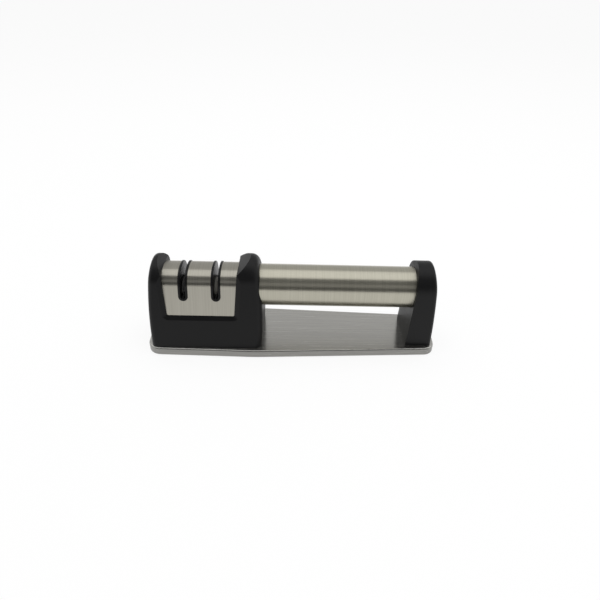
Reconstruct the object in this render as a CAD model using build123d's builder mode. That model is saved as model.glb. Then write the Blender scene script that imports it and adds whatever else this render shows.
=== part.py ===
"""Pull through knife sharpener: a two-slot head and a tube handle on a steel base.

Millimetres. X runs from the sharpening head (-X) to the end support (+X), Y from front to back,
Z up. The origin is on the resting surface, under the middle of the base plate. A rise or a drop
is a height above or below the axis of the handle tube.
"""
from math import atan2, cos, degrees, hypot, radians, sin, sqrt, tan
import os

from build123d import *

# Base plate: a folded steel pan, widest beside the head
plate_length = 198.6
plate_width = 51.0
plate_left_end_width = 47.6
plate_right_end_width = 39.6
plate_widest_from_left = 73.6
plate_end_bow = 1.4
plate_left_corner_radius = 9.6
plate_right_corner_radius = 8.0
plate_side_blend_radius = 150.0
plate_sheet = 1.0
plate_rim_height = 5.2
plate_edge_radius = 1.1

# Rubber mat and moulded stiffener inside the pan
pad_thickness = 1.9
pad_proud = 0.5
pad_edge_radius = 0.4
insert_side_gap = 0.3

# Handle tube, and the socket and spigot that hold each of its ends
tube_axis_height = 37.8
tube_radius = 14.0
tube_wall = 0.8
socket_depth = 5.0
socket_gap = 0.1
tube_end_gap = 0.2
spigot_wall = 2.2
spigot_reach = 6.0

# Wall of both black mouldings
moulding_wall = 2.4

# Head moulding, with one horn at each side of its window
head_side_lean = 9.24
head_side_half = 16.45
head_length = 74.1
head_left_foot_margin = 4.0
head_left_widest_drop = 23.5
head_left_widest_swell = 0.4
head_left_top_inset = 3.2
head_right_axis_inset = 0.1
head_right_top_inset = 2.6
left_horn_rise = 20.2
left_horn_slope_run = 3.0
left_horn_edge_radius = 3.4
right_horn_rise = 21.5
right_horn_width = 15.6
right_horn_slope_run = 8.4
right_horn_edge_radius = 5.4

# End support moulding, slimmer than the head
support_side_lean = 0.9
support_side_half = 16.0
support_length = 18.1
support_right_foot_margin = 3.2
support_right_middle_drop = 4.0
support_right_middle_inset = 1.3
support_right_top_inset = 3.5
support_left_draft = 3.0
support_rise = 18.6
support_slope_run = 1.2
support_edge_radius = 2.4

# Window of the head and the steel cover in it
window_top_half = 24.4
window_bottom_half = 22.1
window_corner_radius = 1.0
window_bevel_width = 3.0
window_bevel_depth = 1.1
deck_thickness = 2.3
cover_sheet = 0.8
cover_lean = 12.0
cover_crown_radius = 23.0
cover_shoulder_radius = 10.8
cover_skirt_drop = 14.7
cover_groove_depth = 0.9
cover_end_gap = 0.2
cover_face_gap = 0.1

# Knife slots and the carriers that line them
slot_pitch = 21.3
slot_shift = 0.2
slot_bottom_drop = 4.6
knife_gap = 3.2
lip_width = 1.45
lip_proud = 0.5
lip_edge_radius = 0.4
lip_fit_gap = 0.1
carrier_width = 15.0
carrier_cover_gap = 0.3

# Sharpening wheels, hubs, axles and washers
wheel_radius = 9.0
wheel_width = 2.6
wheel_axis_drop = 5.0
wheel_spacing = 0.4
wheel_groove_depth = 3.6
wheel_groove_half_width = 1.35
wheel_rim_edge_radius = 0.25
wheel_chamber_gap = 0.5
washer_thickness = 0.25
washer_radius = 3.0
washer_play = 0.075
hub_radius = 3.2
axle_radius = 1.5
axle_bearing_gap = 0.05
axle_seat_gap = 0.02
axle_end_inset = 0.3
axle_chamfer = 0.25

# Screws, their posts and their holes
post_radius = 4.6
post_end_inset = 9.0
post_side_inset = 6.4
post_screw_shank = 1.3
post_screw_length = 11.0
post_screw_head = 2.8
post_screw_head_height = 1.8
carrier_screw_shank = 1.1
carrier_screw_length = 9.0
carrier_screw_head = 2.3
carrier_screw_head_height = 1.6
carrier_screw_spread = 24.8
clearance_hole_gap = 0.35
insert_hole_gap = 0.6
thread_gap = 0.05
hole_spare_depth = 1.0
screw_head_round_share = 0.6
screw_tip_share = 0.45
recess_span_share = 1.1
recess_arm_share = 0.3
recess_depth_share = 0.5

# Overrun of every cutting shape past the face that it cuts
overrun = 2.0

# Heights and places that follow
plate_top = pad_proud + plate_rim_height
plate_underside = plate_top - plate_sheet
axis_z = plate_top + tube_axis_height
plate_left = -plate_length / 2
plate_right = plate_length / 2
head_left = plate_left + head_left_foot_margin
head_right = head_left + head_length
support_right = plate_right - support_right_foot_margin
support_left = support_right - support_length
tube_left_seat = head_right - head_right_axis_inset
tube_right_seat = support_left + tube_axis_height * tan(radians(support_left_draft))
window_centre = tube_left_seat - right_horn_width - window_top_half
coarse_x = window_centre - slot_shift - slot_pitch / 2
fine_x = window_centre - slot_shift + slot_pitch / 2
deck_top = axis_z - cover_skirt_drop
deck_underside = deck_top - deck_thickness
wheel_z = axis_z - wheel_axis_drop
wheel_outer_face = wheel_spacing / 2 + wheel_width
chamber_half_width = wheel_outer_face + washer_thickness + 2 * washer_play
head_foot_half = head_side_half + tube_axis_height * tan(radians(head_side_lean))
support_foot_half = support_side_half + tube_axis_height * tan(radians(support_side_lean))
reach = head_foot_half + overrun
sky = right_horn_rise + overrun

# Plane of every front view, with its origin on the tube's axis
front = Plane(origin=(0, 0, axis_z), x_dir=(1, 0, 0), z_dir=(0, -1, 0))


def side_plane(x: float, height: float = axis_z) -> Plane:
    """Plane across the object at x, with its origin at a height above the middle line."""
    return Plane(origin=(x, 0, height), x_dir=(0, 1, 0), z_dir=(1, 0, 0))


def arch_profile(x: float, half: float, lean: float, rise: float, drop: float) -> Sketch:
    """Cross-section at x of a round-topped body with leaning flanks.

    The flanks pass half from the middle at the height of the tube's axis. An arc that is
    tangent to both closes the top at rise, and the flat foot is at drop.
    """
    slope = radians(lean)
    centre = (rise - half * cos(slope)) / (1 - sin(slope))
    radius = rise - centre
    shoulder_y = radius * cos(slope)
    shoulder_rise = centre + radius * sin(slope)
    foot_y = half + drop * tan(slope)
    with BuildSketch(side_plane(x)) as profile:
        with BuildLine():
            Line((-foot_y, -drop), (-shoulder_y, shoulder_rise))
            ThreePointArc((-shoulder_y, shoulder_rise), (0, rise), (shoulder_y, shoulder_rise))
            Line((shoulder_y, shoulder_rise), (foot_y, -drop))
            Line((foot_y, -drop), (-foot_y, -drop))
        make_face()
    return profile.sketch


def saddle_profile(x: float, rise: float, drop: float) -> Sketch:
    """Cross-section at x with the cover's shape: a broad crown, tighter shoulders and flanks.

    Profiles of different rise are parallel. The rise is the height of the crown and the
    distance of the flanks from the tube's axis, and the flat foot is at drop.
    """
    lean = radians(cover_lean)
    crown = cover_crown_radius + rise - tube_radius
    shoulder = cover_shoulder_radius + rise - tube_radius
    outward = Vector(cos(lean), sin(lean))
    upward = Vector(-sin(lean), cos(lean))
    crown_centre = Vector(0, rise - crown)
    across = outward.dot(outward * (rise - shoulder) - crown_centre)
    along = upward.dot(crown_centre) + sqrt((crown - shoulder) ** 2 - across**2)
    shoulder_centre = outward * (rise - shoulder) + upward * along
    towards_crown = (shoulder_centre - crown_centre).normalized()
    crown_end = crown_centre + towards_crown * crown
    middle = shoulder_centre + (outward + towards_crown).normalized() * shoulder
    flank_top = shoulder_centre + outward * shoulder
    foot_y = rise / cos(lean) + drop * tan(lean)
    with BuildSketch(side_plane(x)) as profile:
        with BuildLine():
            ThreePointArc((-crown_end.X, crown_end.Y), (0, rise), (crown_end.X, crown_end.Y))
            for side in (-1, 1):
                ThreePointArc(
                    (side * crown_end.X, crown_end.Y),
                    (side * middle.X, middle.Y),
                    (side * flank_top.X, flank_top.Y),
                )
                Line((side * flank_top.X, flank_top.Y), (side * foot_y, -drop))
            Line((-foot_y, -drop), (foot_y, -drop))
        make_face()
    return profile.sketch


def room_profile(x: float, half: float, lean: float, top_drop: float) -> Sketch:
    """Cross-section at x of the hollow inside a moulding, flat at its top and open at its foot."""
    slope = tan(radians(lean))
    top_y = half + top_drop * slope - moulding_wall
    foot_drop = tube_axis_height + overrun
    foot_y = half + foot_drop * slope - moulding_wall
    with BuildSketch(side_plane(x)) as profile:
        with BuildLine():
            Polyline(
                (-foot_y, -foot_drop),
                (-top_y, -top_drop),
                (top_y, -top_drop),
                (foot_y, -foot_drop),
                close=True,
            )
        make_face()
    return profile.sketch


def head_front_view(inset: float) -> Sketch:
    """Front view of the head, with both of its ends bowed outwards, drawn in by inset."""
    left = head_left + inset
    right = head_right - inset
    top_left = left + head_left_top_inset
    top_right = right - head_right_top_inset
    with BuildSketch(front) as view:
        with BuildLine():
            ThreePointArc(
                (left, -tube_axis_height),
                (left - head_left_widest_swell, -head_left_widest_drop),
                (top_left, right_horn_rise),
            )
            Polyline(
                (top_left, right_horn_rise),
                (top_left, sky),
                (top_right, sky),
                (top_right, right_horn_rise),
            )
            ThreePointArc(
                (top_right, right_horn_rise),
                (right - head_right_axis_inset, 0),
                (right, -tube_axis_height),
            )
            Line((right, -tube_axis_height), (left, -tube_axis_height))
        make_face()
    return view.sketch


def support_front_view(inset: float) -> Sketch:
    """Front view of the end support: a drafted left end and a bowed right end, drawn in by inset."""
    left = support_left + inset
    right = support_right - inset
    top_right = right - support_right_top_inset
    shoulder = left + (tube_axis_height + tube_radius) * tan(radians(support_left_draft))
    slope = support_slope_run / (support_rise - tube_radius)
    with BuildSketch(front) as view:
        with BuildLine():
            ThreePointArc(
                (right, -tube_axis_height),
                (right - support_right_middle_inset, -support_right_middle_drop),
                (top_right, support_rise),
            )
            Polyline(
                (top_right, support_rise),
                (top_right, sky),
                (shoulder + slope * (sky - tube_radius), sky),
                (shoulder, tube_radius),
                (left, -tube_axis_height),
                (right, -tube_axis_height),
            )
        make_face()
    return view.sketch


def cover_view(margin: float) -> Sketch:
    """Front view of the window where the cover stands, widened by margin at each side."""
    top = tube_radius + overrun
    slope = (window_top_half - window_bottom_half) / (tube_radius + cover_skirt_drop)
    bottom_half = window_bottom_half + margin
    top_half = window_top_half + margin + slope * overrun
    with BuildSketch(front) as view:
        with BuildLine():
            Polyline(
                (window_centre - bottom_half, -cover_skirt_drop),
                (window_centre + bottom_half, -cover_skirt_drop),
                (window_centre + top_half, top),
                (window_centre - top_half, top),
                close=True,
            )
        make_face()
    return view.sketch


def window_view(plane: Plane, foot: float) -> Sketch:
    """Outline of the head's window on an upright or leaning plane, open at the top."""
    left_top = window_centre - window_top_half
    right_top = window_centre + window_top_half
    left_slope = left_horn_slope_run / (left_horn_rise - tube_radius)
    right_slope = right_horn_slope_run / (right_horn_rise - tube_radius)
    with BuildSketch(plane) as view:
        with BuildLine():
            Polyline(
                (window_centre - window_bottom_half, foot),
                (window_centre + window_bottom_half, foot),
                (right_top, tube_radius),
                (right_top + right_slope * (sky - tube_radius), sky),
                (left_top - left_slope * (sky - tube_radius), sky),
                (left_top, tube_radius),
                close=True,
            )
        make_face()
        fillet(view.vertices().group_by(Axis.Y)[0], radius=window_corner_radius)
    return view.sketch


def window_bevel(side: int) -> Part:
    """Cut that bevels the window's edge in the front flank, side -1, or the rear one, side 1."""
    lean = radians(head_side_lean)
    inside = head_side_half * cos(lean) - window_bevel_depth
    outward = Vector(0, side * cos(lean), sin(lean))
    flank = Plane(origin=Vector(0, 0, axis_z) + outward * inside, x_dir=(1, 0, 0), z_dir=outward)
    foot = -(cover_skirt_drop + inside * sin(lean)) / cos(lean)
    flare = degrees(atan2(window_bevel_width, window_bevel_depth))
    with BuildPart() as cut:
        extrude(window_view(flank, foot), amount=2 * window_bevel_depth, taper=-flare)
    return cut.part


def slot_view(x: float, half: float) -> Sketch:
    """Front view of a knife slot at x: straight sides, open at the top, over a round bottom."""
    centre = knife_gap / 2 + lip_width - slot_bottom_drop
    top = tube_radius + lip_proud + overrun
    with BuildSketch(front) as view:
        with BuildLine():
            Line((x - half, top), (x - half, centre))
            ThreePointArc((x - half, centre), (x, centre - half), (x + half, centre))
            Line((x + half, centre), (x + half, top))
            Line((x + half, top), (x - half, top))
        make_face()
    return view.sketch


def plate_outline(inset: float) -> Sketch:
    """Plan of the base plate, drawn in by inset on every side."""
    left = plate_left + plate_end_bow
    right = plate_right - plate_end_bow
    widest = plate_left + plate_widest_from_left
    left_half = plate_left_end_width / 2
    right_half = plate_right_end_width / 2
    half = plate_width / 2
    with BuildSketch() as plan:
        with BuildLine():
            ThreePointArc((left, -left_half), (plate_left, 0), (left, left_half))
            Polyline((left, left_half), (widest, half), (right, right_half))
            ThreePointArc((right, right_half), (plate_right, 0), (right, -right_half))
            Polyline((right, -right_half), (widest, -half), (left, -left_half))
        make_face()
        fillet(plan.vertices().sort_by(Axis.X)[2:4], radius=plate_side_blend_radius)
        fillet(plan.vertices().sort_by(Axis.X)[:2], radius=plate_left_corner_radius)
        fillet(plan.vertices().sort_by(Axis.X)[-2:], radius=plate_right_corner_radius)
        if inset > 0:
            offset(amount=-inset, mode=Mode.REPLACE)
    return plan.sketch


def post_places(columns: list[float], foot_half: float) -> list[tuple[float, float]]:
    """Plan places of the screw posts of a moulding, two in each column across it."""
    y = foot_half - post_side_inset
    return [(x, side * y) for x in columns for side in (-1, 1)]


def carrier_screw_places(x: float) -> list[tuple[float, float]]:
    """Plan places of the two screws of the carrier at x, in front of its wheels and behind."""
    return [(x, side * carrier_screw_spread / 2) for side in (-1, 1)]


def outside_tube(edge: Edge) -> bool:
    """Whether the middle of an edge is further from the tube's axis than the tube's surface."""
    middle = edge @ 0.5
    return hypot(middle.Y, middle.Z - axis_z) > tube_radius


def socket_and_spigot(seat: float, inward: int) -> tuple[Part, Part]:
    """Bore for a tube end in the face at seat, and the spigot on its floor.

    The bore is sunk towards inward, which is -1 or 1 along X.
    """
    floor = seat + inward * socket_depth
    mouth = seat - inward * overrun
    tip = seat - inward * spigot_reach
    spigot_radius = tube_radius - tube_wall - socket_gap
    with BuildPart() as bore:
        with BuildSketch(side_plane(min(floor, mouth))):
            Circle(tube_radius + socket_gap)
        extrude(amount=abs(floor - mouth))
    with BuildPart() as spigot:
        with BuildSketch(side_plane(min(floor, tip))):
            Circle(spigot_radius)
            Circle(spigot_radius - spigot_wall, mode=Mode.SUBTRACT)
        extrude(amount=abs(floor - tip))
    return bore.part, spigot.part


def screw(shank: float, length: float, head: float, head_height: float) -> Part:
    """Pan head screw that points up, with the underside of its head at the origin."""
    with BuildPart() as one:
        with BuildSketch():
            Circle(head)
        extrude(amount=-head_height)
        fillet(one.edges().sort_by(Axis.Z)[0], radius=head_height * screw_head_round_share)
        with BuildSketch():
            Circle(shank)
        extrude(amount=length)
        chamfer(one.edges().sort_by(Axis.Z)[-1], length=shank * screw_tip_share)
        with BuildSketch(Plane.XY.offset(-head_height)):
            Rectangle(head * recess_span_share, head * recess_arm_share)
            Rectangle(head * recess_arm_share, head * recess_span_share)
        extrude(amount=head_height * recess_depth_share, mode=Mode.SUBTRACT)
    return one.part


def carrier(x: float) -> Part:
    """Moulding that lines one knife slot and holds one pair of wheels between its cheeks."""
    left = x - carrier_width / 2
    core_radius = tube_radius - cover_sheet - carrier_cover_gap
    chamber_radius = wheel_radius + wheel_chamber_gap
    with BuildPart() as neck:
        extrude(slot_view(x, knife_gap / 2 + lip_width), amount=reach, both=True)
        extrude(
            saddle_profile(left, tube_radius + lip_proud, slot_bottom_drop + overrun),
            amount=carrier_width,
            mode=Mode.INTERSECT,
        )
        extrude(slot_view(x, knife_gap / 2), amount=reach, both=True, mode=Mode.SUBTRACT)
        lip = neck.edges().filter_by(outside_tube).filter_by(Axis.X, reverse=True)
        fillet(lip, radius=lip_edge_radius)
    with BuildPart() as body:
        extrude(saddle_profile(left, core_radius, cover_skirt_drop), amount=carrier_width)
        add(neck.part)
        extrude(slot_view(x, knife_gap / 2), amount=reach, both=True, mode=Mode.SUBTRACT)
        with BuildSketch(side_plane(x, wheel_z)):
            Circle(chamber_radius)
            Rectangle(
                2 * chamber_radius,
                wheel_z - deck_top + overrun,
                align=(Align.CENTER, Align.MAX),
            )
        extrude(amount=chamber_half_width, both=True, mode=Mode.SUBTRACT)
        with BuildSketch(side_plane(left, wheel_z)):
            Circle(axle_radius + axle_seat_gap)
        extrude(amount=carrier_width, mode=Mode.SUBTRACT)
        with BuildSketch(Plane.XY.offset(deck_top)):
            with Locations(*carrier_screw_places(x)):
                Circle(carrier_screw_shank + thread_gap)
        extrude(
            amount=carrier_screw_length - deck_thickness + hole_spare_depth,
            mode=Mode.SUBTRACT,
        )
    return body.part


def axle(x: float) -> Part:
    """Steel pin across the carrier at x."""
    length = carrier_width - 2 * axle_end_inset
    with BuildPart() as pin:
        with BuildSketch(side_plane(x - length / 2, wheel_z)):
            Circle(axle_radius)
        extrude(amount=length)
        chamfer(pin.edges().filter_by(GeomType.CIRCLE), length=axle_chamfer)
    return pin.part


def wheel(x: float, side: int) -> Part:
    """Abrasive ring on the side -1 or 1 of the slot at x, bevelled towards its partner."""
    inner = wheel_spacing / 2
    outward = Plane(origin=(x, 0, wheel_z), x_dir=(side, 0, 0), z_dir=(0, -side, 0))
    with BuildPart() as ring:
        with BuildSketch(outward) as section:
            with BuildLine():
                Polyline(
                    (inner, hub_radius),
                    (inner, wheel_radius - wheel_groove_depth),
                    (inner + wheel_groove_half_width, wheel_radius),
                    (wheel_outer_face, wheel_radius),
                    (wheel_outer_face, hub_radius),
                    close=True,
                )
            make_face()
            fillet(section.vertices().group_by(Axis.Y)[-1], radius=wheel_rim_edge_radius)
        revolve(axis=Axis((x, 0, wheel_z), (1, 0, 0)))
    return ring.part


def hub(x: float, side: int) -> Part:
    """Nylon hub inside the wheel on the side -1 or 1 of the slot at x."""
    start = x + min(side * wheel_spacing / 2, side * wheel_outer_face)
    with BuildPart() as bush:
        with BuildSketch(side_plane(start, wheel_z)):
            Circle(hub_radius)
            Circle(axle_radius + axle_bearing_gap, mode=Mode.SUBTRACT)
        extrude(amount=wheel_width)
    return bush.part


def washers(x: float) -> Part:
    """Three thin washers on one axle: between the wheels and outside each of them."""
    outer = wheel_outer_face + washer_play + washer_thickness / 2
    with BuildPart() as stack:
        for place in (x - outer, x, x + outer):
            with BuildSketch(side_plane(place - washer_thickness / 2, wheel_z)):
                Circle(washer_radius)
                Circle(axle_radius + axle_bearing_gap, mode=Mode.SUBTRACT)
            extrude(amount=washer_thickness)
    return stack.part


def labelled(piece: Part, label: str) -> Part:
    """Give a finished piece its label."""
    piece.label = label
    return piece


# Screw places
head_columns = [head_left + post_end_inset, head_right - post_end_inset]
head_screw_places = post_places(head_columns, head_foot_half)
support_screw_places = post_places([support_left + support_length / 2], support_foot_half)
plate_screw_places = head_screw_places + support_screw_places
all_carrier_screw_places = carrier_screw_places(coarse_x) + carrier_screw_places(fine_x)

# Base plate
with BuildPart() as base_plate:
    with BuildSketch(Plane.XY.offset(pad_proud)):
        add(plate_outline(0))
    extrude(amount=plate_rim_height)
    fillet(base_plate.faces().sort_by(Axis.Z)[-1].edges(), radius=plate_edge_radius)
    with BuildSketch(Plane.XY.offset(pad_proud)):
        add(plate_outline(plate_sheet))
    extrude(amount=plate_rim_height - plate_sheet, mode=Mode.SUBTRACT)
    with BuildSketch(Plane.XY.offset(plate_underside)):
        with Locations(*plate_screw_places):
            Circle(post_screw_shank + clearance_hole_gap)
    extrude(amount=plate_sheet, mode=Mode.SUBTRACT)
base_plate.part.label = "base_plate"

# Moulded stiffener inside the pan, with a clear hole round each screw head
with BuildPart() as base_insert:
    with BuildSketch(Plane.XY.offset(pad_thickness)):
        add(plate_outline(plate_sheet + insert_side_gap))
        with Locations(*plate_screw_places):
            Circle(post_screw_head + insert_hole_gap, mode=Mode.SUBTRACT)
    extrude(amount=plate_underside - pad_thickness)
base_insert.part.label = "base_insert"

# Rubber mat that the sharpener stands on
with BuildPart() as grip_pad:
    with BuildSketch():
        add(plate_outline(plate_sheet + insert_side_gap))
    extrude(amount=pad_thickness)
    fillet(grip_pad.faces().sort_by(Axis.Z)[0].edges(), radius=pad_edge_radius)
grip_pad.part.label = "grip_pad"

# Hollow of the head below its deck, round a screw post in each corner
with BuildPart() as head_room:
    extrude(head_front_view(moulding_wall), amount=reach, both=True)
    extrude(
        room_profile(plate_left, head_side_half, head_side_lean, axis_z - deck_underside),
        amount=plate_length,
        mode=Mode.INTERSECT,
    )
    with BuildSketch(Plane.XY.offset(plate_top)):
        with Locations(*head_screw_places):
            Circle(post_radius)
    extrude(amount=tube_axis_height, mode=Mode.SUBTRACT)

# Grooves in the horns that take the cover's edges
with BuildPart() as cover_grooves:
    extrude(cover_view(cover_groove_depth), amount=reach, both=True)
    extrude(
        saddle_profile(plate_left, tube_radius + cover_face_gap, cover_skirt_drop),
        amount=plate_length,
        mode=Mode.INTERSECT,
    )
    extrude(
        saddle_profile(
            plate_left, tube_radius - cover_sheet - cover_face_gap, cover_skirt_drop + overrun
        ),
        amount=plate_length,
        mode=Mode.SUBTRACT,
    )

# Head moulding: two horns with a window for the cover between them
head_bore, head_spigot = socket_and_spigot(tube_left_seat, -1)
with BuildPart() as head_housing:
    extrude(
        arch_profile(plate_left, head_side_half, head_side_lean, left_horn_rise, tube_axis_height),
        amount=window_centre - plate_left,
    )
    extrude(
        arch_profile(window_centre, head_side_half, head_side_lean, right_horn_rise, tube_axis_height),
        amount=-window_centre,
    )
    extrude(head_front_view(0), amount=reach, both=True, mode=Mode.INTERSECT)
    left_end = head_housing.faces().sort_by(Axis.X)[0]
    fillet(left_end.edges().sort_by(Axis.Z)[1:], radius=left_horn_edge_radius)
    right_end = head_housing.faces().sort_by(Axis.X)[-1]
    fillet(right_end.edges().sort_by(Axis.Z)[1:], radius=right_horn_edge_radius)
    extrude(window_view(front, -cover_skirt_drop), amount=reach, both=True, mode=Mode.SUBTRACT)
    for side in (-1, 1):
        add(window_bevel(side), mode=Mode.SUBTRACT)
    add(head_room.part, mode=Mode.SUBTRACT)
    add(cover_grooves.part, mode=Mode.SUBTRACT)
    add(head_bore, mode=Mode.SUBTRACT)
    add(head_spigot)
    with BuildSketch(Plane.XY.offset(plate_top)):
        with Locations(*head_screw_places):
            Circle(post_screw_shank + thread_gap)
    extrude(amount=post_screw_length - plate_sheet + hole_spare_depth, mode=Mode.SUBTRACT)
    with BuildSketch(Plane.XY.offset(deck_underside)):
        with Locations(*all_carrier_screw_places):
            Circle(carrier_screw_shank + clearance_hole_gap)
    extrude(amount=deck_thickness, mode=Mode.SUBTRACT)
head_housing.part.label = "head_housing"

# Steel cover: a saddle with both knife slots cut through it
with BuildPart() as head_cover:
    extrude(cover_view(cover_groove_depth - cover_end_gap), amount=reach, both=True)
    extrude(
        saddle_profile(plate_left, tube_radius, cover_skirt_drop),
        amount=plate_length,
        mode=Mode.INTERSECT,
    )
    extrude(
        saddle_profile(plate_left, tube_radius - cover_sheet, cover_skirt_drop + overrun),
        amount=plate_length,
        mode=Mode.SUBTRACT,
    )
    for place in (coarse_x, fine_x):
        extrude(
            slot_view(place, knife_gap / 2 + lip_width + lip_fit_gap),
            amount=reach,
            both=True,
            mode=Mode.SUBTRACT,
        )
head_cover.part.label = "head_cover"

# Handle tube
tube_start = tube_left_seat - socket_depth + tube_end_gap
tube_end = tube_right_seat + socket_depth - tube_end_gap
with BuildPart() as handle_tube:
    with BuildSketch(side_plane(tube_start)):
        Circle(tube_radius)
        Circle(tube_radius - tube_wall, mode=Mode.SUBTRACT)
    extrude(amount=tube_end - tube_start)
handle_tube.part.label = "handle_tube"

# Hollow of the end support below its socket, round two screw posts
with BuildPart() as support_room:
    extrude(support_front_view(moulding_wall), amount=reach, both=True)
    extrude(
        room_profile(
            0, support_side_half, support_side_lean, tube_radius + socket_gap + moulding_wall
        ),
        amount=plate_right,
        mode=Mode.INTERSECT,
    )
    with BuildSketch(Plane.XY.offset(plate_top)):
        with Locations(*support_screw_places):
            Circle(post_radius)
    extrude(amount=tube_axis_height, mode=Mode.SUBTRACT)

# End support moulding
support_bore, support_spigot = socket_and_spigot(tube_right_seat, 1)
with BuildPart() as support_housing:
    extrude(
        arch_profile(0, support_side_half, support_side_lean, support_rise, tube_axis_height),
        amount=plate_right,
    )
    extrude(support_front_view(0), amount=reach, both=True, mode=Mode.INTERSECT)
    right_end = support_housing.faces().sort_by(Axis.X)[-1]
    fillet(right_end.edges().sort_by(Axis.Z)[1:], radius=support_edge_radius)
    add(support_room.part, mode=Mode.SUBTRACT)
    add(support_bore, mode=Mode.SUBTRACT)
    add(support_spigot)
    with BuildSketch(Plane.XY.offset(plate_top)):
        with Locations(*support_screw_places):
            Circle(post_screw_shank + thread_gap)
    extrude(amount=post_screw_length - plate_sheet + hole_spare_depth, mode=Mode.SUBTRACT)
support_housing.part.label = "support_housing"

# Screws, all with their heads below what they hold
post_screw = screw(post_screw_shank, post_screw_length, post_screw_head, post_screw_head_height)
carrier_screw = screw(
    carrier_screw_shank, carrier_screw_length, carrier_screw_head, carrier_screw_head_height
)

with BuildPart() as head_screws:
    with Locations(*[(x, y, plate_underside) for x, y in head_screw_places]):
        add(post_screw)
head_screws.part.label = "head_screws"

with BuildPart() as support_screws:
    with Locations(*[(x, y, plate_underside) for x, y in support_screw_places]):
        add(post_screw)
support_screws.part.label = "support_screws"

with BuildPart() as carrier_screws:
    with Locations(*[(x, y, deck_underside) for x, y in all_carrier_screw_places]):
        add(carrier_screw)
carrier_screws.part.label = "carrier_screws"

pieces = [
    base_plate.part,
    base_insert.part,
    grip_pad.part,
    head_housing.part,
    head_cover.part,
    handle_tube.part,
    support_housing.part,
    head_screws.part,
    support_screws.part,
    carrier_screws.part,
]

# The same set of pieces behind each knife slot
for stage, place in (("coarse", coarse_x), ("fine", fine_x)):
    pieces.append(labelled(carrier(place), f"{stage}_carrier"))
    pieces.append(labelled(axle(place), f"{stage}_axle"))
    pieces.append(labelled(washers(place), f"{stage}_washers"))
    for hand, side in (("left", -1), ("right", 1)):
        pieces.append(labelled(wheel(place, side), f"{stage}_wheel_{hand}"))
        pieces.append(labelled(hub(place, side), f"{stage}_hub_{hand}"))

os.makedirs("parts", exist_ok=True)
for piece in pieces:
    export_step(piece, f"parts/{piece.label}.step")
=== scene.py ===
"""Pull through knife sharpener: its finishes, its fine pieces, and the studio round it."""
from collections.abc import Callable
from dataclasses import dataclass, field
from enum import Enum
import logging
import math

import bpy
from mathutils import Matrix, Vector


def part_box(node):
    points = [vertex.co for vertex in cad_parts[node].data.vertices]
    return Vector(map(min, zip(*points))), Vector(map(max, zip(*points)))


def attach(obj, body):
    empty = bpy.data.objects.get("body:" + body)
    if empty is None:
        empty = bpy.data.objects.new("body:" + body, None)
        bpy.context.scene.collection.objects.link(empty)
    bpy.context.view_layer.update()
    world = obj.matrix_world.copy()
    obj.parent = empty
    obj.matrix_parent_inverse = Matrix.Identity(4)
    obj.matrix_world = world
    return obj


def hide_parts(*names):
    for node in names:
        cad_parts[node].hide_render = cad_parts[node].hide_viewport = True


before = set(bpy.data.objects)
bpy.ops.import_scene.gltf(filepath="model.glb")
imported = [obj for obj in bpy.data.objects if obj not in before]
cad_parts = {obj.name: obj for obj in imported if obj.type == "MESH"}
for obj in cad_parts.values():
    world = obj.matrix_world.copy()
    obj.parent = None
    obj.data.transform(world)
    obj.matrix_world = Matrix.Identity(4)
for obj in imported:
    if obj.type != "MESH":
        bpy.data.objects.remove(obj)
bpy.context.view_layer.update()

MM = 0.001
STAGES = ("coarse", "fine")
HANDS = ("left", "right")
PATTERN_LOW = 0.3
PATTERN_HIGH = 0.7
WHITE = (1, 1, 1, 1)
log = logging.getLogger("sharpener")


class Grain(Enum):
    """Which way a brushed surface's fine lines run, as the direction across them."""

    ALONG = (0, 1, 0)
    ROUND = (1, 0, 0)


def linear(code: str) -> tuple[float, float, float, float]:
    """Linear colour of an sRGB hex value.

    Args:
        code: Six hex digits, such as "8f8f8c".

    Returns:
        Red, green, blue and an alpha of 1.
    """
    shares = [int(code[i:i + 2], 16) / 255 for i in (0, 2, 4)]
    values = [s / 12.92 if s <= 0.04045 else ((s + 0.055) / 1.055) ** 2.4 for s in shares]
    return (values[0], values[1], values[2], 1.0)


def add_node(
    tree: bpy.types.NodeTree, kind: str, settings: dict | None = None, inputs: dict | None = None
) -> bpy.types.Node:
    """Add a node with its settings, its socket values and its links.

    Args:
        tree: Node tree that takes the node.
        kind: Blender's name of the node type.
        settings: Properties of the node.
        inputs: For each input's name or number, a value, or an output socket to link.

    Returns:
        The new node.
    """
    node = tree.nodes.new(kind)
    for name, value in (settings or {}).items():
        setattr(node, name, value)
    for key, value in (inputs or {}).items():
        if isinstance(value, bpy.types.NodeSocket):
            tree.links.new(value, node.inputs[key])
        else:
            node.inputs[key].default_value = value
    return node


def object_pattern(
    tree: bpy.types.NodeTree, scale: tuple[float, float, float], detail: float = 3.0
) -> bpy.types.Node:
    """Noise on Object coordinates, stretched by a scale along each axis.

    Args:
        tree: Node tree of the material.
        scale: Noise cells a metre along X, Y and Z.
        detail: Octaves of the noise.

    Returns:
        The noise node.
    """
    place = add_node(tree, "ShaderNodeTexCoord")
    mapping = add_node(
        tree, "ShaderNodeMapping", inputs={"Vector": place.outputs["Object"], "Scale": scale}
    )
    return add_node(
        tree,
        "ShaderNodeTexNoise",
        inputs={"Vector": mapping.outputs[0], "Scale": 1.0, "Detail": detail},
    )


def empty_tree(holder: bpy.types.Material | bpy.types.World) -> bpy.types.NodeTree:
    """Give a material or a world an empty node tree.

    Args:
        holder: Material or world.

    Returns:
        Its node tree.
    """
    holder.use_nodes = True
    holder.node_tree.nodes.clear()
    return holder.node_tree


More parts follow.
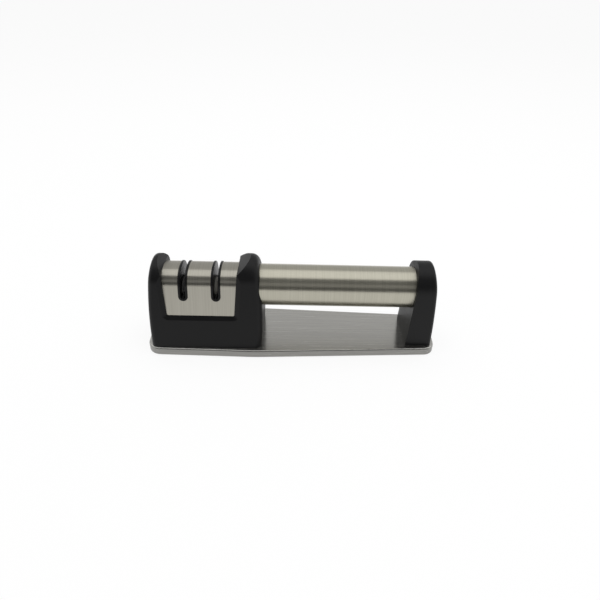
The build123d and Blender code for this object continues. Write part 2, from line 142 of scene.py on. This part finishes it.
def start_material(name: str) -> tuple[bpy.types.Material, bpy.types.NodeTree, bpy.types.Node]:
    """Make a material that holds one Principled shader.

    Args:
        name: Name of the material.

    Returns:
        The material, its node tree and its shader.
    """
    material = bpy.data.materials.new(name)
    tree = empty_tree(material)
    shader = add_node(tree, "ShaderNodeBsdfPrincipled")
    add_node(tree, "ShaderNodeOutputMaterial", inputs={"Surface": shader.outputs["BSDF"]})
    return material, tree, shader


def spread(
    tree: bpy.types.NodeTree, source: bpy.types.NodeSocket, low: float, high: float
) -> bpy.types.NodeSocket:
    """Map a pattern, between its low and its high, to the range from low to high.

    Args:
        tree: Node tree of the material.
        source: Pattern's output.
        low: Value at PATTERN_LOW and below.
        high: Value at PATTERN_HIGH and above.

    Returns:
        The mapped output.
    """
    node = add_node(
        tree,
        "ShaderNodeMapRange",
        inputs={
            "Value": source,
            "From Min": PATTERN_LOW,
            "From Max": PATTERN_HIGH,
            "To Min": low,
            "To Max": high,
        },
    )
    return node.outputs["Result"]


def tint(
    tree: bpy.types.NodeTree, source: bpy.types.NodeSocket, dark: str, light: str
) -> bpy.types.NodeSocket:
    """Colour that runs from dark to light with a pattern.

    Args:
        tree: Node tree of the material.
        source: Pattern's output.
        dark: Hex colour at PATTERN_LOW and below.
        light: Hex colour at PATTERN_HIGH and above.

    Returns:
        The colour output.
    """
    ramp = add_node(tree, "ShaderNodeValToRGB", inputs={"Fac": source})
    stops = ((PATTERN_LOW, dark), (PATTERN_HIGH, light))
    for element, (position, code) in zip(ramp.color_ramp.elements, stops):
        element.position = position
        element.color = linear(code)
    return ramp.outputs["Color"]


def relief(
    tree: bpy.types.NodeTree, shader: bpy.types.Node, source: bpy.types.NodeSocket, depth_mm: float
) -> None:
    """Raise the surface by a pattern.

    Args:
        tree: Node tree of the material.
        shader: Principled shader that takes the bump.
        source: Pattern's output.
        depth_mm: Height of the relief.
    """
    bump = add_node(
        tree,
        "ShaderNodeBump",
        inputs={"Height": source, "Distance": depth_mm * MM, "Strength": 1.0},
    )
    tree.links.new(bump.outputs["Normal"], shader.inputs["Normal"])


@dataclass(frozen=True)
class BrushedSteel:
    """Stainless sheet or tube, brushed with an abrasive belt.

    The belt's scratches blur a reflection across themselves and keep it sharp along them, so
    the bands of the studio stay crisp round the tube. Real scratches are about 0.05 mm apart.
    They are drawn far wider, as nothing finer shows at the picture's 0.7 mm a pixel. Below the rim
    height the colour is darkened to a share of itself, as painted shade for the shaded table that
    the rim reflects.
    """

    name: str
    dark: str
    light: str
    grain: Grain
    line_mm: float = 0.6
    line_length_mm: float = 45.0
    line_octaves: float = 4.0
    roughness: float = 0.34
    roughness_spread: float = 0.04
    anisotropy: float = 0.85
    scratch_mm: float = 0.002
    rim_shade_height_mm: float = 0.0
    rim_shade_blend_mm: float = 0.25
    rim_shade_share: float = 1.0

    def paint_rim_shade(
        self, tree: bpy.types.NodeTree, colour: bpy.types.NodeSocket
    ) -> bpy.types.NodeSocket:
        """Darken a colour below the rim height, as painted shade on the rim.

        Args:
            tree: Node tree of the material.
            colour: Colour of the brushed sheet.

        Returns:
            The colour with its painted rim shade.
        """
        place = add_node(tree, "ShaderNodeTexCoord")
        parts = add_node(tree, "ShaderNodeSeparateXYZ", inputs={0: place.outputs["Object"]})
        share = add_node(
            tree,
            "ShaderNodeMapRange",
            inputs={
                "Value": parts.outputs["Z"],
                "From Min": (self.rim_shade_height_mm - self.rim_shade_blend_mm) * MM,
                "From Max": self.rim_shade_height_mm * MM,
                "To Min": self.rim_shade_share,
                "To Max": 1.0,
            },
        )
        scaled = add_node(
            tree,
            "ShaderNodeVectorMath",
            {"operation": "SCALE"},
            {"Vector": colour, "Scale": share.outputs["Result"]},
        )
        return scaled.outputs["Vector"]

    def make(self) -> bpy.types.Material:
        """Build the material: lines, their colour and gloss, and the direction across them.

        Returns:
            The material.
        """
        material, tree, shader = start_material(self.name)
        fine = 1 / (self.line_mm * MM)
        slow = 1 / (self.line_length_mm * MM)
        scale = (fine, slow, slow) if self.grain is Grain.ROUND else (slow, fine, fine)
        lines = object_pattern(tree, scale, detail=self.line_octaves).outputs["Fac"]
        colour = tint(tree, lines, self.dark, self.light)
        # Painted shade: the rim's colour is darkened below its height, for the shaded table it
        # reflects.
        if self.rim_shade_height_mm > 0:
            colour = self.paint_rim_shade(tree, colour)
        tree.links.new(colour, shader.inputs["Base Color"])
        smoothest = self.roughness - self.roughness_spread
        roughest = self.roughness + self.roughness_spread
        tree.links.new(spread(tree, lines, smoothest, roughest), shader.inputs["Roughness"])
        across = add_node(tree, "ShaderNodeCombineXYZ")
        for socket, value in zip(across.inputs, self.grain.value):
            socket.default_value = value
        tree.links.new(across.outputs[0], shader.inputs["Tangent"])
        shader.inputs["Metallic"].default_value = 1.0
        shader.inputs["Anisotropic"].default_value = self.anisotropy
        relief(tree, shader, lines, self.scratch_mm)
        return material


@dataclass(frozen=True)
class MouldedPlastic:
    """ABS, nylon or rubber moulding, with the fine grain that a spark eroded mould leaves.

    The grain breaks up the reflections, and a slow variation of gloss, in patches of about
    17 mm, keeps big faces alive.
    """

    name: str
    dark: str
    light: str
    grain_mm: float = 0.35
    grain_octaves: float = 2.0
    grain_depth_mm: float = 0.012
    patches_a_metre: float = 60.0
    roughness: float = 0.42
    roughness_spread: float = 0.03
    sheen_level: float = 0.5
    ior: float = 1.53

    def make(self) -> bpy.types.Material:
        """Build the material: its patches of colour and gloss, and its grain.

        Returns:
            The material.
        """
        material, tree, shader = start_material(self.name)
        fine = 1 / (self.grain_mm * MM)
        slow = self.patches_a_metre
        grain = object_pattern(tree, (fine, fine, fine), detail=self.grain_octaves).outputs["Fac"]
        patches = object_pattern(tree, (slow, slow, slow)).outputs["Fac"]
        tree.links.new(tint(tree, patches, self.dark, self.light), shader.inputs["Base Color"])
        smoothest = self.roughness - self.roughness_spread
        roughest = self.roughness + self.roughness_spread
        tree.links.new(spread(tree, patches, smoothest, roughest), shader.inputs["Roughness"])
        shader.inputs["IOR"].default_value = self.ior
        shader.inputs["Specular IOR Level"].default_value = self.sheen_level
        relief(tree, shader, grain, self.grain_depth_mm)
        return material


@dataclass(frozen=True)
class BondedGrit:
    """Abrasive grains in a ceramic bond: matt, speckled, and rough to the touch."""

    name: str
    dark: str
    light: str
    grit_mm: float
    grit_octaves: float = 5.0
    relief_share: float = 0.25
    roughness: float = 0.85

    def make(self) -> bpy.types.Material:
        """Build the material: its speckles and their relief.

        Returns:
            The material.
        """
        material, tree, shader = start_material(self.name)
        fine = 1 / (self.grit_mm * MM)
        grains = object_pattern(tree, (fine, fine, fine), detail=self.grit_octaves).outputs["Fac"]
        tree.links.new(tint(tree, grains, self.dark, self.light), shader.inputs["Base Color"])
        shader.inputs["Roughness"].default_value = self.roughness
        relief(tree, shader, grains, self.grit_mm * self.relief_share)
        return material


@dataclass(frozen=True)
class TurnedMetal:
    """Plated or ground steel of a screw or pin, with the faint unevenness of its surface."""

    name: str
    dark: str
    light: str
    mark_mm: float = 0.2
    mark_depth_mm: float = 0.004
    roughness: float = 0.25

    def make(self) -> bpy.types.Material:
        """Build the material: its marks and their relief.

        Returns:
            The material.
        """
        material, tree, shader = start_material(self.name)
        fine = 1 / (self.mark_mm * MM)
        marks = object_pattern(tree, (fine, fine, fine)).outputs["Fac"]
        tree.links.new(tint(tree, marks, self.dark, self.light), shader.inputs["Base Color"])
        shader.inputs["Roughness"].default_value = self.roughness
        shader.inputs["Metallic"].default_value = 1.0
        relief(tree, shader, marks, self.mark_depth_mm)
        return material


def take_up(piece: bpy.types.Object) -> None:
    """Make a piece the active one, and the only one that is selected.

    Args:
        piece: Object that the next operators act on.
    """
    bpy.ops.object.select_all(action="DESELECT")
    bpy.context.view_layer.objects.active = piece
    piece.select_set(True)


def select_faces(piece: bpy.types.Object, wanted: Callable[[bpy.types.MeshPolygon], bool]) -> None:
    """Go to edit mode with only the wanted faces of a piece selected.

    Args:
        piece: Active mesh object.
        wanted: Test that a face's polygon has to pass.
    """
    bpy.ops.object.mode_set(mode="EDIT")
    bpy.ops.mesh.select_mode(type="FACE")
    bpy.ops.mesh.select_all(action="DESELECT")
    bpy.ops.object.mode_set(mode="OBJECT")
    for polygon in piece.data.polygons:
        polygon.select = wanted(polygon)
    bpy.ops.object.mode_set(mode="EDIT")


def apply_modifier(piece: bpy.types.Object, kind: str, settings: dict[str, object]) -> None:
    """Add a modifier to the active piece and apply it.

    Args:
        piece: Active mesh object.
        kind: Blender's name of the modifier type.
        settings: Properties of the modifier.
    """
    modifier = piece.modifiers.new(kind.lower(), kind)
    for name, value in settings.items():
        setattr(modifier, name, value)
    bpy.ops.object.modifier_apply(modifier=modifier.name)


@dataclass
class AbrasiveWheel:
    """Bonded ring on one side of a knife slot, bevelled towards its partner.

    The bevels of a pair make the V that the blade is pulled through. The grit is real relief,
    cut inwards, so that the wheel never grows past the solid that it stands for. A face counts
    as one of the ring's sides where side_share or more of its normal lies along the axle.
    """

    stage: str
    hand: str
    bevel_width_mm: float = 1.35
    bevel_depth_mm: float = 3.6
    bore_radius_mm: float = 3.2
    segments: int = 96
    side_share: float = 0.9
    voxel_mm: float = 0.2
    grain_mm: float = 0.45
    grain_octaves: int = 2
    grain_depth_mm: float = 0.16
    smooth_angle: float = 50.0

    @property
    def node(self) -> str:
        """Name of the solid that this wheel replaces."""
        return f"{self.stage}_wheel_{self.hand}"

    def turn_blank(self) -> bpy.types.Object:
        """Shape the plain ring from a disc: its bevel, and the bore through it.

        Returns:
            The ring, with its place in its mesh.
        """
        low, high = (Vector(corner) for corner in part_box(self.node))
        radius = (high.z - low.z) / 2
        bevel_width = self.bevel_width_mm * MM
        bevel_depth = self.bevel_depth_mm * MM
        bore = self.bore_radius_mm * MM
        towards = 1 if self.hand == "left" else -1
        centre = (low + high) / 2 - Vector((towards * bevel_width / 2, 0, 0))
        bpy.ops.object.select_all(action="DESELECT")
        bpy.ops.mesh.primitive_cylinder_add(
            vertices=self.segments,
            radius=radius,
            depth=high.x - low.x - bevel_width,
            end_fill_type="NGON",
            location=centre,
            rotation=(0, math.pi / 2, 0),
        )
        ring = bpy.context.object
        bpy.ops.object.transform_apply(location=True, rotation=True, scale=True)
        select_faces(ring, lambda face: face.normal.x * towards > self.side_share)
        bpy.ops.mesh.inset(thickness=bevel_depth, depth=bevel_width)
        bpy.ops.mesh.inset(thickness=radius - bevel_depth - bore, depth=0)
        bpy.ops.object.mode_set(mode="OBJECT")
        select_faces(ring, lambda face: face.normal.x * towards < -self.side_share)
        bpy.ops.mesh.inset(thickness=radius - bore, depth=0)
        bpy.ops.object.mode_set(mode="OBJECT")
        select_faces(ring, lambda face: len(face.vertices) == self.segments)
        bpy.ops.mesh.bridge_edge_loops()
        bpy.ops.mesh.select_all(action="SELECT")
        bpy.ops.mesh.normals_make_consistent(inside=False)
        bpy.ops.object.mode_set(mode="OBJECT")
        return ring

    def build(self) -> bpy.types.Object:
        """Make the wheel with its grit, and put it in its solid's place.

        Returns:
            The finished wheel.
        """
        wheel = self.turn_blank()
        wheel.name = f"abrasive_{self.node}"
        grit = bpy.data.textures.new(f"grit_{self.node}", "CLOUDS")
        grit.noise_scale = self.grain_mm * MM
        grit.noise_depth = self.grain_octaves
        apply_modifier(wheel, "REMESH", {"mode": "VOXEL", "voxel_size": self.voxel_mm * MM})
        apply_modifier(
            wheel,
            "DISPLACE",
            {"texture": grit, "strength": self.grain_depth_mm * MM, "mid_level": 1.0},
        )
        bpy.ops.object.shade_smooth_by_angle(angle=math.radians(self.smooth_angle))
        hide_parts(self.node)
        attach(wheel, f"{self.stage}_{self.hand}")
        log.info("%s: %d faces", wheel.name, len(wheel.data.polygons))
        return wheel


@dataclass
class GripMat:
    """Rubber mat under the base, with grooves across it that stop it from sucking down."""

    node: str = "grip_pad"
    groove_pitch_mm: float = 4.0
    groove_width_mm: float = 1.5
    groove_depth_mm: float = 0.6
    groove_length_mm: float = 28.0
    corner_share: float = 0.25
    corner_segments: int = 3
    end_margin_mm: float = 9.0
    merge_mm: float = 0.001
    smooth_angle: float = 35.0

    def build(self) -> bpy.types.Object:
        """Make the mat from its solid's outline and cut its grooves.

        Returns:
            The finished mat.
        """
        low, high = (Vector(corner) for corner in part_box(self.node))
        mat = bpy.data.objects.new("ribbed_grip_mat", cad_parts[self.node].data.copy())
        bpy.context.scene.collection.objects.link(mat)
        take_up(mat)
        bpy.ops.object.mode_set(mode="EDIT")
        bpy.ops.mesh.select_all(action="SELECT")
        bpy.ops.mesh.remove_doubles(threshold=self.merge_mm * MM)
        bpy.ops.object.mode_set(mode="OBJECT")
        cutter = self.build_cutter(low, high)
        take_up(mat)
        apply_modifier(
            mat, "BOOLEAN", {"operation": "DIFFERENCE", "solver": "EXACT", "object": cutter}
        )
        bpy.data.objects.remove(cutter)
        bpy.ops.object.shade_smooth_by_angle(angle=math.radians(self.smooth_angle))
        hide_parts(self.node)
        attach(mat, "sharpener_body")
        log.info("%s: %d faces", mat.name, len(mat.data.polygons))
        return mat

    def build_cutter(self, low: Vector, high: Vector) -> bpy.types.Object:
        """Make the bars that cut the grooves.

        Args:
            low: Lowest corner of the mat.
            high: Highest corner of the mat.

        Returns:
            One object with a round cornered bar for each groove.
        """
        pitch = self.groove_pitch_mm * MM
        span = high.x - low.x - 2 * self.end_margin_mm * MM
        count = int(span / pitch) + 1
        start = (low.x + high.x) / 2 - pitch * (count - 1) / 2
        width = self.groove_width_mm * MM
        bpy.ops.mesh.primitive_cube_add(size=1.0, location=(start, 0, low.z))
        bar = bpy.context.object
        bar.scale = (width, self.groove_length_mm * MM, 2 * self.groove_depth_mm * MM)
        bpy.ops.object.transform_apply(location=True, rotation=True, scale=True)
        apply_modifier(
            bar, "BEVEL", {"width": width * self.corner_share, "segments": self.corner_segments}
        )
        apply_modifier(
            bar,
            "ARRAY",
            {
                "count": count,
                "use_relative_offset": False,
                "use_constant_offset": True,
                "constant_offset_displace": (pitch, 0, 0),
            },
        )
        return bar


@dataclass
class Finishes:
    """Every finish of the sharpener, and the CAD nodes that wear it.

    The colours are sRGB hex values: the darker one first, then the lighter one.
    """

    plate: BrushedSteel = BrushedSteel(
        "brushed_stainless_plate",
        "b0afab",
        "bfbeb9",
        Grain.ALONG,
        roughness=0.24,
        # Below 5.5 mm the rim's colour is darkened: painted shade for the shaded table that it
        # reflects.
        rim_shade_height_mm=5.5,
        rim_shade_share=0.56,
    )
    cover: BrushedSteel = BrushedSteel("brushed_stainless_cover", "a09d93", "aeaba1", Grain.ROUND)
    tube: BrushedSteel = BrushedSteel("brushed_stainless_tube", "adaa9c", "bbb8aa", Grain.ROUND)
    housing: MouldedPlastic = MouldedPlastic(
        "satin_black_abs", "0c0c0d", "0f0f10", roughness=0.42, sheen_level=0.2
    )
    carrier: MouldedPlastic = MouldedPlastic(
        "gloss_black_abs", "0a0a0b", "0d0d0e", grain_depth_mm=0.002, roughness=0.3, sheen_level=0.2
    )
    insert: MouldedPlastic = MouldedPlastic("rough_black_abs", "232323", "2a2a2a", roughness=0.6)
    nylon: MouldedPlastic = MouldedPlastic("natural_nylon", "d6d4cb", "dedcd4", roughness=0.5)
    rubber: MouldedPlastic = MouldedPlastic(
        "matt_rubber", "1e1e1e", "262626", grain_mm=0.8, grain_depth_mm=0.05, roughness=0.85
    )
    coarse: BondedGrit = BondedGrit("coarse_bonded_grit", "4c4c4e", "83827f", 0.45)
    fine: BondedGrit = BondedGrit("fine_bonded_grit", "a09e98", "bcbab3", 0.3)
    axle: TurnedMetal = TurnedMetal("ground_steel", "a8a8a8", "b8b8b8")
    screw: TurnedMetal = TurnedMetal("zinc_plated_steel", "b4b4b6", "c8c8ca")

    def worn_by(self) -> dict[str, list[str]]:
        """List who wears which finish.

        Returns:
            For the name of each finish, the names of its CAD nodes.
        """
        return {
            "plate": ["base_plate"],
            "cover": ["head_cover"],
            "tube": ["handle_tube"],
            "housing": ["head_housing", "support_housing"],
            "carrier": [f"{s}_carrier" for s in STAGES],
            "insert": ["base_insert"],
            "rubber": ["grip_pad"],
            "nylon": [f"{s}_hub_{h}" for s in STAGES for h in HANDS],
            "coarse": ["coarse_wheel_left", "coarse_wheel_right"],
            "fine": ["fine_wheel_left", "fine_wheel_right"],
            "axle": [f"{s}_{p}" for s in STAGES for p in ("axle", "washers")],
            "screw": ["head_screws", "support_screws", "carrier_screws"],
        }

    def dress(self, made: dict[str, bpy.types.Object]) -> None:
        """Put each finish on its CAD nodes, or on the pieces that replace them.

        Args:
            made: For the name of each replaced node, the modelled piece.
        """
        for finish, names in self.worn_by().items():
            material = getattr(self, finish).make()
            for name in names:
                mesh = made.get(name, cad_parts[name]).data
                mesh.materials.clear()
                mesh.materials.append(material)
            log.info("%s on %s", material.name, ", ".join(names))


@dataclass(frozen=True)
class Card:
    """Curved card above the table that shines on polished surfaces only.

    Angles are elevations round the handle's axis, from 0 at the front horizon to 180 at the
    back one.
    """

    name: str
    start: float
    end: float
    glow: float


@dataclass
class Studio:
    """White table, soft top light, and the cards whose bands the steel shows.

    Lengths are metres. The table reaches past the top of the picture, so that its edge is
    never seen, and lies a little below the object, so that their faces don't flicker.
    """

    table_size: float = 16.0
    table_height: float = -0.05 * MM
    table_glow_share: float = 0.86
    table_colour: str = "f7f7f7"
    sky_fill: float = 0.72
    card_radius: float = 1.0
    card_half_length: float = 1.6
    card_steps: int = 24
    axis_height: float = 0.0435
    lamp_place: tuple[float, float, float] = (0.1, 0.15, 1.1)
    lamp_size: tuple[float, float] = (1.2, 0.9)
    lamp_watts: float = 6.0
    cards: list[Card] = field(
        default_factory=lambda: [
            Card("card_front_low", 0, 22, 0.10),
            Card("card_front_strip", 22, 40, 0.33),
            Card("card_front_high", 40, 69, 0.17),
            Card("card_top", 69, 121, 1.25),
            Card("card_back", 121, 180, 0.62),
        ]
    )

    def camera_share(self, tree: bpy.types.NodeTree) -> bpy.types.NodeSocket:
        """Tell the rays that show the background from those that light matt surfaces.

        Args:
            tree: Node tree of the world or a material.

        Returns:
            The output that is 1 for rays from the camera, off gloss and through glass.
        """
        path = add_node(tree, "ShaderNodeLightPath")
        share = path.outputs["Is Camera Ray"]
        for kind in ("Is Glossy Ray", "Is Transmission Ray"):
            either = add_node(
                tree, "ShaderNodeMath", {"operation": "MAXIMUM"}, {0: share, 1: path.outputs[kind]}
            )
            share = either.outputs[0]
        return share

    def build_world(self) -> None:
        """White surroundings, with a plain fill on matt surfaces."""
        world = bpy.data.worlds.new("studio_world")
        bpy.context.scene.world = world
        tree = empty_tree(world)
        strength = add_node(
            tree,
            "ShaderNodeMapRange",
            inputs={"Value": self.camera_share(tree), "To Min": self.sky_fill, "To Max": 1.0},
        )
        sky = add_node(
            tree,
            "ShaderNodeBackground",
            inputs={"Color": WHITE, "Strength": strength.outputs["Result"]},
        )
        add_node(tree, "ShaderNodeOutputWorld", inputs={"Surface": sky.outputs[0]})

    def build_table(self) -> None:
        """White table that keeps a part of the object's shadow."""
        bpy.ops.mesh.primitive_plane_add(size=self.table_size, location=(0, 0, self.table_height))
        table = bpy.context.object
        table.name = "table"
        bpy.ops.object.transform_apply(location=True, rotation=True, scale=True)
        material = bpy.data.materials.new("white_table")
        tree = empty_tree(material)
        matt = add_node(tree, "ShaderNodeBsdfDiffuse", inputs={"Color": linear(self.table_colour)})
        glow = add_node(tree, "ShaderNodeEmission", inputs={"Color": WHITE, "Strength": 1.0})
        share = add_node(
            tree,
            "ShaderNodeMath",
            {"operation": "MULTIPLY"},
            {0: self.camera_share(tree), 1: self.table_glow_share},
        )
        mix = add_node(
            tree,
            "ShaderNodeMixShader",
            inputs={0: share.outputs[0], 1: matt.outputs[0], 2: glow.outputs[0]},
        )
        add_node(tree, "ShaderNodeOutputMaterial", inputs={"Surface": mix.outputs[0]})
        table.data.materials.append(material)

    def build_card(self, card: Card) -> None:
        """Build one card as a curved strip round the handle's axis.

        Args:
            card: Name, angles and glow of the card.
        """
        bpy.ops.object.select_all(action="DESELECT")
        bpy.ops.mesh.primitive_plane_add(size=2.0, location=(0, 0, 0))
        strip = bpy.context.object
        strip.name = card.name
        bpy.ops.object.mode_set(mode="EDIT")
        bpy.ops.mesh.subdivide(number_cuts=self.card_steps - 1)
        bpy.ops.object.mode_set(mode="OBJECT")
        for vertex in strip.data.vertices:
            share = (vertex.co.y + 1) / 2
            angle = math.radians(card.start + share * (card.end - card.start))
            vertex.co = Vector((
                vertex.co.x * self.card_half_length,
                -math.cos(angle) * self.card_radius,
                math.sin(angle) * self.card_radius + self.axis_height,
            ))
        material = bpy.data.materials.new(card.name)
        tree = empty_tree(material)
        glow = add_node(tree, "ShaderNodeEmission", inputs={"Color": WHITE, "Strength": card.glow})
        add_node(tree, "ShaderNodeOutputMaterial", inputs={"Surface": glow.outputs[0]})
        strip.data.materials.append(material)
        strip.visible_camera = False
        strip.visible_diffuse = False
        strip.visible_shadow = False

    def build_lamp(self) -> None:
        """Large soft lamp above, a little behind the object."""
        bpy.ops.object.light_add(type="AREA", location=self.lamp_place)
        lamp = bpy.context.object
        lamp.name = "top_softbox"
        lamp.data.shape = "RECTANGLE"
        lamp.data.size, lamp.data.size_y = self.lamp_size
        lamp.data.energy = self.lamp_watts
        lamp.visible_glossy = False
        lamp.visible_camera = False

    def build(self) -> None:
        """Build the world, the table, the cards and the lamp."""
        self.build_world()
        self.build_table()
        for card in self.cards:
            self.build_card(card)
        self.build_lamp()
        log.info("studio with %d cards", len(self.cards))


@dataclass
class Camera:
    """Camera of the picture: above the front, turned a little to the right, slightly tilted.

    Yaw is degrees to the right of +Y, pitch is degrees down and roll is degrees of tilt.
    """

    location_mm: tuple[float, float, float] = (0.4, -285.0, 228.0)
    yaw: float = 2.156
    pitch: float = 33.415
    roll: float = 2.323
    lens_mm: float = 30.0
    sensor_mm: float = 36.0
    shift: tuple[float, float] = (-0.017, -0.0176)
    nearest_mm: float = 10.0

    def build(self) -> None:
        """Make the camera and hand it to the scene."""
        yaw, pitch, roll = (math.radians(a) for a in (self.yaw, self.pitch, self.roll))
        ahead = Vector((
            math.sin(yaw) * math.cos(pitch), math.cos(yaw) * math.cos(pitch), -math.sin(pitch)
        ))
        level = Vector((math.cos(yaw), -math.sin(yaw), 0))
        upright = level.cross(ahead)
        right = math.cos(roll) * level + math.sin(roll) * upright
        up = -math.sin(roll) * level + math.cos(roll) * upright
        turn = Matrix((right, up, -ahead)).transposed().to_4x4()
        place = Matrix.Translation(Vector(self.location_mm) * MM)
        data = bpy.data.cameras.new("camera")
        data.lens = self.lens_mm
        data.sensor_width = self.sensor_mm
        data.shift_x, data.shift_y = self.shift
        data.clip_start = self.nearest_mm * MM
        camera = bpy.data.objects.new("camera", data)
        bpy.context.scene.collection.objects.link(camera)
        camera.matrix_world = place @ turn
        bpy.context.scene.camera = camera


def main() -> None:
    """Build the camera, the studio, the wheels, the mat and the finishes in order."""
    logging.basicConfig(level=logging.INFO, format="%(name)s: %(message)s")
    bpy.ops.object.select_all(action="DESELECT")
    bpy.context.scene.view_settings.view_transform = "Standard"
    Camera().build()
    Studio().build()
    wheels = [AbrasiveWheel(stage, hand) for stage in STAGES for hand in HANDS]
    made = {wheel.node: wheel.build() for wheel in wheels}
    mat = GripMat()
    made[mat.node] = mat.build()
    Finishes().dress(made)


if __name__ == "__main__":
    main()
